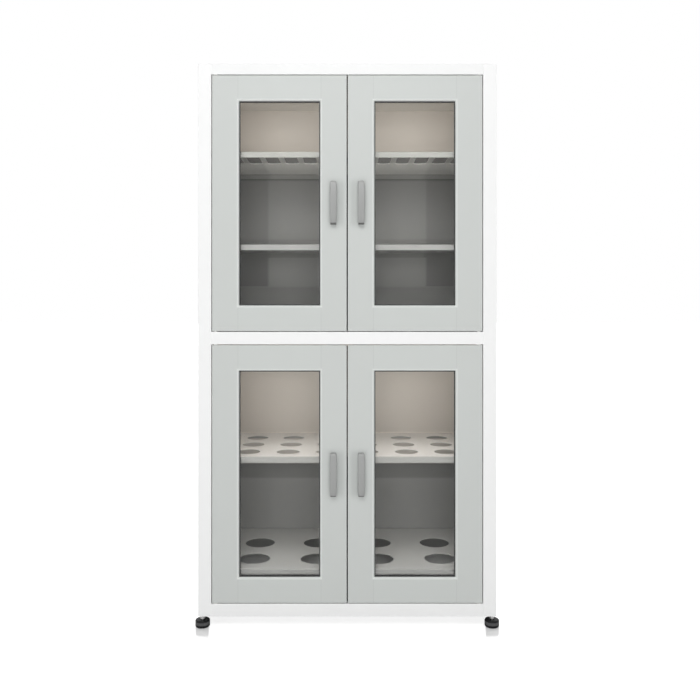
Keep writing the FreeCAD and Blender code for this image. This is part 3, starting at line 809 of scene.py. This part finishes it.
foot_edge_black = (0.010, 0.010, 0.011)
foot_highlight_grey = (0.088, 0.088, 0.090)
foot_black, foot_tree, foot_place, foot_spray = coated(
    "foot moulding", foot_edge_black, rough=0.30, cloud=0.4, cloud_scale=40.0
)
foot_tree.nodes["Principled BSDF"].inputs["IOR"].default_value = 1.22
white_zinc = plated("white zinc plate", (0.93, 0.93, 0.92), rough=0.5)
# A band round the pad's side is painted lighter, as a highlight; above and below it the pad is black.
pad_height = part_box("foot_pad_front_left")[1].z
highlight_band_low = (0.34, 0.44)
highlight_band_high = (0.84, 0.74)
_, _, foot_height = split(foot_tree, foot_place["Object"])
foot_share = calc(foot_tree, "DIVIDE", foot_height, pad_height)
over_low, under_high = (soft_step(foot_tree, foot_share, *fade) for fade in (highlight_band_low, highlight_band_high))
on_highlight_band = calc(foot_tree, "MULTIPLY", over_low, under_high)
foot_tone = blended(foot_tree, on_highlight_band, foot_edge_black, foot_highlight_grey)
foot_tree.links.new(foot_tone, foot_spray.inputs["Colour"])


def foot_pad(x, y, radius, height):
    """Turned outline of flat base, round lower rim, fluted side and round upper rim.

    The flutes are a squared cosine round the foot, and fade out above and below as a bell curve.
    """
    low_round, high_round, hole = 0.005, 0.004, 0.0042
    flute, flute_fade, flutes, near_side = 0.0005, 0.005, 24, 0.002
    turn = np.linspace(0, 2 * np.pi, 144, endpoint=False)[None, :]
    quarter = np.linspace(0, np.pi / 2, 9)
    side = np.linspace(low_round, height - high_round, 7)
    r = np.concatenate(
        [
            [0.0, radius - low_round],
            radius - low_round + low_round * np.sin(quarter[1:]),
            np.full(5, radius),
            radius - high_round + high_round * np.cos(quarter),
            [hole, 0.0],
        ]
    )[:, None]
    z = np.concatenate(
        [
            [0.0, 0.0],
            low_round - low_round * np.cos(quarter[1:]),
            side[1:-1],
            height - high_round + high_round * np.sin(quarter),
            [height, height],
        ]
    )[:, None]
    on_side = np.exp(-((z - height / 2) ** 2) / (2 * flute_fade**2)) * (r > radius - near_side)
    r = r - flute * on_side * (0.5 + 0.5 * np.cos(flutes * turn)) ** 2
    points = [x + r * np.cos(turn), y + r * np.sin(turn), z + 0 * turn]
    return surface("pad", np.stack(points, axis=-1))


def threaded_rod(x, y, radius, z0, z1):
    """Screw thread: the radius dips by a triangle wave of height over pitch, less the turn's share.

    Near its top end the rod tapers to three quarters of its radius.
    """
    pitch, depth, columns, rows_a_pitch, taper_length, taper_left = 0.00125, 0.0007, 24, 6, 0.0015, 0.75
    z = np.linspace(z0, z1, int((z1 - z0) / pitch * rows_a_pitch))[:, None]
    angle = np.linspace(0, 2 * np.pi, columns, endpoint=False)[None, :]
    phase = (z / pitch - angle / (2 * np.pi)) % 1.0
    taper = np.clip((z1 - z) / taper_length, 0, 1) * (1 - taper_left) + taper_left
    r = (radius - depth * np.abs(2 * phase - 1)) * taper
    rows = np.stack([x + r * np.cos(angle), y + r * np.sin(angle), z + 0 * angle], axis=-1)
    return surface("thread", with_ends(rows))


def hexagon(x, y, flats, z0, z1):
    """Hexagon whose corners are turned off at both ends by a cone of 30 degrees."""
    angle = np.linspace(0, 2 * np.pi, 96, endpoint=False)[None, :]
    flat_turn = (angle % (np.pi / 3)) - np.pi / 6
    corner = flats / 2 / np.cos(flat_turn)
    edge = flats / 2 * (1 / math.cos(math.pi / 6) - 1) * math.tan(math.pi / 6)
    z = np.array([z0, z0, z0 + edge / 2, z0 + edge, z1 - edge, z1 - edge / 2, z1, z1])[:, None]
    from_end = np.minimum(z - z0, z1 - z)
    r = np.minimum(corner, flats / 2 + from_end / math.tan(math.pi / 6))
    r = r * np.array([0, 1, 1, 1, 1, 1, 1, 0])[:, None]
    points = [x + r * np.cos(angle), y + r * np.sin(angle), z + 0 * r]
    return surface("hexagon", np.stack(points, axis=-1))


stud_radius = 0.004
hex_flats = 0.013
hex_height = 0.010
hex_gap = 0.0003
hex_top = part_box("side_panel_left")[0].z - hex_gap
for place in ("front_left", "front_right", "rear_left", "rear_right"):
    foot = "foot_" + place
    low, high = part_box("foot_pad_" + place)
    x, y = (low.x + high.x) / 2, (low.y + high.y) / 2
    pad_mesh = foot_pad(x, y, (high.x - low.x) / 2, high.z)
    pad = piece(foot + "_moulding", [pad_mesh], foot, foot_black, sharp=60.0)
    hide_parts("foot_pad_" + place)
    low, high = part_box("foot_stud_" + place)
    stud_meshes = [
        threaded_rod(x, y, stud_radius, low.z, high.z),
        hexagon(x, y, hex_flats, hex_top - hex_height, hex_top),
    ]
    stud = piece(foot + "_thread", stud_meshes, foot, white_zinc, sharp=28.0)
    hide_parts("foot_stud_" + place)

# Floor, light and camera
# A pale, smooth floor under soft studio light, with white behind it, as in a catalogue. To the eye
# the floor is nearly white too, with a trace of shadow, and its glow is dimmed in front of the front
# feet as a painted reflection of them, over their faint real mirror image.

door_face_distance = 2.3
camera_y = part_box("door_upper_left_shell")[0].y - door_face_distance
floor_white, floor_tree, floor_shader, floor_place = plain_material("studio floor")
floor_shader.inputs["Base Color"].default_value = (0.86, 0.86, 0.86, 1.0)
floor_shader.inputs["Roughness"].default_value = 0.05
floor_shader.inputs["IOR"].default_value = 2.0
floor_glow = add_node(floor_tree, "ShaderNodeEmission")
floor_glow.inputs["Color"].default_value = (1.0, 1.0, 1.0, 1.0)
floor_rays = add_node(floor_tree, "ShaderNodeLightPath")
floor_across, floor_depth, _ = split(floor_tree, floor_place["Object"])
floor_out = calc(floor_tree, "ABSOLUTE", floor_across, 0.0)
floor_away = calc(floor_tree, "SUBTRACT", floor_depth, camera_y)
floor_bearing = calc(floor_tree, "DIVIDE", floor_out, floor_away)
white_glow = 0.73
painted_foot_reflection = 0.55
# Each row holds what is measured, and where the painted reflection starts and is full.
for value, start, full in (
    (floor_bearing, 0.1800, 0.1825),
    (floor_bearing, 0.2010, 0.1975),
    (floor_depth, -0.305, -0.262),
    (floor_depth, -0.19, -0.21),
):
    painted_foot_reflection = calc(floor_tree, "MULTIPLY", soft_step(floor_tree, value, start, full), painted_foot_reflection)
floor_strength = calc(floor_tree, "SUBTRACT", white_glow, painted_foot_reflection)
seen_strength = calc(floor_tree, "MULTIPLY", floor_rays.outputs["Is Camera Ray"], floor_strength)
floor_tree.links.new(seen_strength, floor_glow.inputs["Strength"])
floor_add = add_node(floor_tree, "ShaderNodeAddShader")
floor_tree.links.new(floor_shader.outputs[0], floor_add.inputs[0])
floor_tree.links.new(floor_glow.outputs[0], floor_add.inputs[1])
floor_tree.links.new(floor_add.outputs[0], floor_tree.nodes["Material Output"].inputs["Surface"])
floor_half = 30.0
floor_mesh = bpy.data.meshes.new("studio_floor")
floor_corners = [
    (x * floor_half, y * floor_half, 0.0)
    for x, y in ((-1, -1), (1, -1), (1, 1), (-1, 1))
]
floor_mesh.from_pydata(floor_corners, [], [(0, 1, 2, 3)])
floor_mesh.materials.append(floor_white)
floor = bpy.data.objects.new("studio_floor", floor_mesh)
bpy.context.scene.collection.objects.link(floor)

world = bpy.data.worlds.new("studio")
bpy.context.scene.world = world
world.use_nodes = True
air = world.node_tree
ambient = air.nodes["Background"]
ambient.inputs["Color"].default_value = (1.0, 1.0, 1.0, 1.0)
ambient.inputs["Strength"].default_value = 0.31
backdrop = add_node(air, "ShaderNodeBackground", Strength=1.0)
backdrop.inputs["Color"].default_value = (1.0, 1.0, 1.0, 1.0)
air_rays = add_node(air, "ShaderNodeLightPath")
seen = air_rays.outputs["Is Camera Ray"]
for ray in ("Is Glossy Ray", "Is Transmission Ray"):
    seen = calc(air, "MAXIMUM", seen, air_rays.outputs[ray])
air_mix = add_node(air, "ShaderNodeMixShader")
air.links.new(seen, air_mix.inputs[0])
air.links.new(ambient.outputs[0], air_mix.inputs[1])
air.links.new(backdrop.outputs[0], air_mix.inputs[2])
air.links.new(air_mix.outputs[0], air.nodes["World Output"].inputs["Surface"])


def softbox(name, at, aim, wide, high, power, mirrored=False):
    """Rectangular lamp that faces a point; glass and metal show it only if mirrored."""
    lamp = bpy.data.lights.new(name, "AREA")
    lamp.shape = "RECTANGLE"
    lamp.size = wide
    lamp.size_y = high
    lamp.energy = power
    made = bpy.data.objects.new(name, lamp)
    bpy.context.scene.collection.objects.link(made)
    ahead = np.array(aim) - np.array(at)
    made.location = at
    made.rotation_euler = Vector(ahead).to_track_quat("-Z", "Y").to_euler()
    made.visible_camera = mirrored
    made.visible_glossy = mirrored
    made.visible_transmission = mirrored


softbox("high_softbox", (-0.3, -3.0, 3.4), (0.0, 0.0, 1.0), 2.6, 1.4, 47.0, mirrored=True)
softbox("front_fill", (0.0, -3.8, 0.95), (0.0, 0.0, 0.95), 1.8, 1.2, 45.0)
for side in (-1, 1):
    softbox("rear_fill", (side * 2.8, 1.9, 2.3), (side * 0.2, 0.2, 0.85), 1.8, 1.8, 27.0)
for lamp_z, shelf_z in ((1.655, 1.44), (0.845, 0.51)):
    softbox("bay_lamp", (0.02, -0.13, lamp_z), (0.02, 0.06, shelf_z), 0.77, 0.05, 0.46)

# The view is level and straight on, as a catalogue photograph with the lens shifted down.
photo_side = 700
middle_column = 347.25
horizon_row = 300.0
lens_pixels = 763.0
camera_z = 0.988
camera_data = bpy.data.cameras.new("catalogue_camera")
camera_data.sensor_width = 36.0
camera_data.lens = lens_pixels * camera_data.sensor_width / photo_side
camera_data.shift_x = (photo_side / 2 - middle_column) / photo_side
camera_data.shift_y = (horizon_row - photo_side / 2) / photo_side
camera = bpy.data.objects.new("catalogue_camera", camera_data)
bpy.context.scene.collection.objects.link(camera)
camera.location = (0.0, camera_y, camera_z)
camera.rotation_euler = (math.pi / 2, 0.0, 0.0)
bpy.context.scene.camera = camera
bpy.context.scene.view_settings.view_transform = "Standard"
